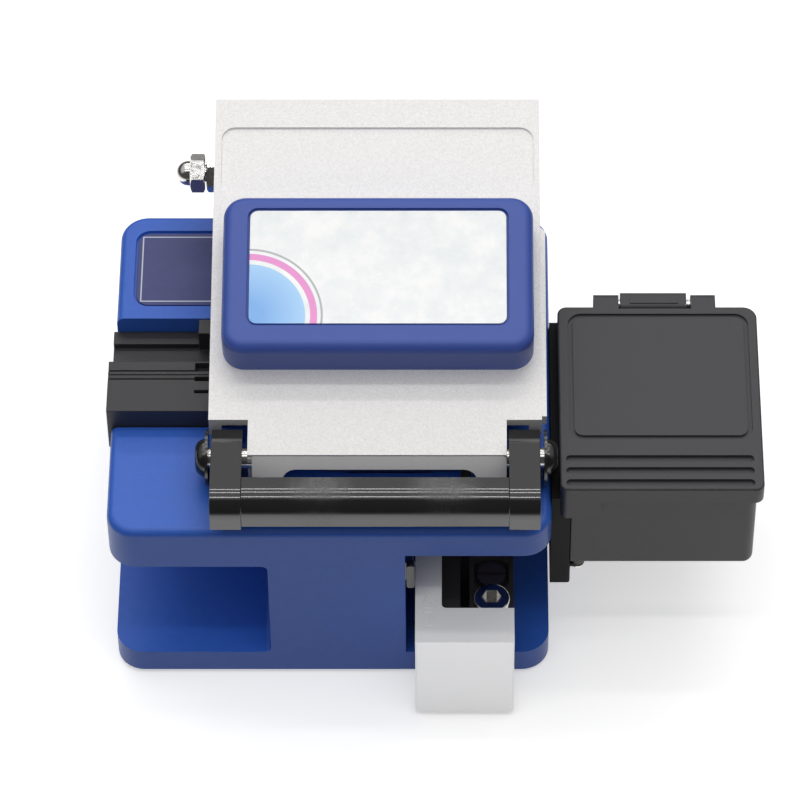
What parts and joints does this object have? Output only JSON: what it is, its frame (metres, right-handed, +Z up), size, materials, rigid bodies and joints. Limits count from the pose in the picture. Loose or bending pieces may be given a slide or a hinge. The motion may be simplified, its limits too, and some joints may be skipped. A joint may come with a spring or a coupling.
{
  "type": "fibre cleaver",
  "caption": "Bench optical fibre cleaver: blue C-shaped body, sprung-anvil hinged lid with release bar, sliding blade carriage with push lever, fibre adapter and hinged scrap bin.",
  "frame": {"origin": "centre of the body's footprint, on the surface it stands on", "axes": "+X to the user's right, +Y away from the user towards the lid hinge, +Z up"},
  "size_m": [0.0935, 0.0735, 0.0549],
  "materials": {
    "blue_anodised": "blue anodised, satin",
    "base_rubber": "matte",
    "deck_label": "matte, bare",
    "magnet_steel": "ground",
    "black_steel": "black oxide",
    "bright_steel": "bright plated",
    "clamp_rubber": "matte",
    "rail_steel": "ground",
    "charcoal_plastic": "fine spark texture",
    "black_aluminium": "black anodised",
    "satin_aluminium": "satin, milled",
    "dial_black": "matte",
    "blade_carbide": "ground",
    "nickel_casting": "bead-blasted nickel plate",
    "keeper_steel": "ground",
    "blue_moulding": "satin",
    "pearl_label": "pearly",
    "bush_brass": "turned",
    "anvil_steel": "ground",
    "spring_steel": "drawn wire",
    "black_gloss": "gloss",
    "dark_washer": "dark, oiled",
    "dark_screw": "black oxide, oiled",
    "bin_plastic": "fine spark texture"
  },
  "bodies": {
    "base": {"body_frame": "blue_anodised", "base_pad": "base_rubber", "deck_label_plate": "deck_label", "deck_magnet": "magnet_steel", "hinge_bracket": "black_steel", "hinge_bracket_screws": "bright_steel", "lower_clamp_blocks": "black_steel", "lower_clamp_pads": "clamp_rubber", "slide_rail": "rail_steel", "rail_screws": "bright_steel", "rail_stops": "rail_steel", "bin_bracket": "charcoal_plastic", "bin_bracket_screws": "bright_steel", "bin_box": "bin_plastic", "bin_foot_screws": "bright_steel", "bin_hinge_rod": "bright_steel"},
    "adapter": {"fibre_adapter": "charcoal_plastic"},
    "carriage": {"slide_shoe": "rail_steel", "shoe_screws": "bright_steel", "carriage_block": "black_aluminium", "push_lever": "satin_aluminium", "lever_screws": "bright_steel", "dial_clamp_screw": "bright_steel", "blade_washer": "bright_steel", "blade_screw": "bright_steel"},
    "blade": {"blade_wheel": "blade_carbide"},
    "dial": {"height_dial": "dial_black"},
    "lid": {"lid_casting": "nickel_casting", "hinge_shaft": "bright_steel", "hinge_jam_nut": "bright_steel", "hinge_cap_nut": "bright_steel", "keeper_plate": "keeper_steel", "lid_cap": "blue_moulding", "cap_label_plate": "pearl_label", "cap_screws": "bright_steel", "upper_clamp_block": "black_aluminium", "upper_clamp_pads": "clamp_rubber", "clamp_screws": "bright_steel", "anvil_bush": "bush_brass", "anvil_spring": "spring_steel", "bar_washers": "dark_washer", "bar_pivot_screws": "dark_screw"},
    "anvil": {"anvil_plunger": "anvil_steel"},
    "release_bar": {"release_bar": "black_gloss"},
    "bin_lid": {"bin_lid": "bin_plastic"}
  },
  "joints": [
    {"name": "lid_hinge", "type": "hinge", "parent": "base", "child": "lid", "pos_m": [0.0067, 0.028, 0.04537], "axis": [-1, 0, 0], "range_deg": [0, 80]},
    {"name": "release_bar_pivot", "type": "hinge", "parent": "lid", "child": "release_bar", "pos_m": [0.0067, -0.01907, 0.0384], "axis": [-1, 0, 0], "range_deg": [0, 16]},
    {"name": "anvil_slide", "type": "slide", "parent": "lid", "child": "anvil", "axis": [0, 0, 1], "range_m": [0, 0.001], "stiffness_N_per_m": 200, "springref_m": -0.003, "deforming": ["anvil_spring"]},
    {"name": "carriage_slide", "type": "slide", "parent": "base", "child": "carriage", "axis": [0, -1, 0], "range_m": [0, 0.02]},
    {"name": "blade_index", "type": "hinge", "parent": "carriage", "child": "blade", "pos_m": [0.01935, 0.0056, 0.0269], "axis": [1, 0, 0], "continuous": true},
    {"name": "dial_turn", "type": "hinge", "parent": "carriage", "child": "dial", "pos_m": [0.0231, -0.02152, 0.013], "axis": [0, 0, 1], "range_deg": [-60, 60]},
    {"name": "bin_lid_hinge", "type": "hinge", "parent": "base", "child": "bin_lid", "pos_m": [0.047, 0.01033, 0.03655], "axis": [-1, 0, 0], "range_deg": [0, 110]},
    {"name": "adapter_slide", "type": "slide", "parent": "base", "child": "adapter", "axis": [-1, 0, 0], "range_m": [0, 0.014]}
  ]
}
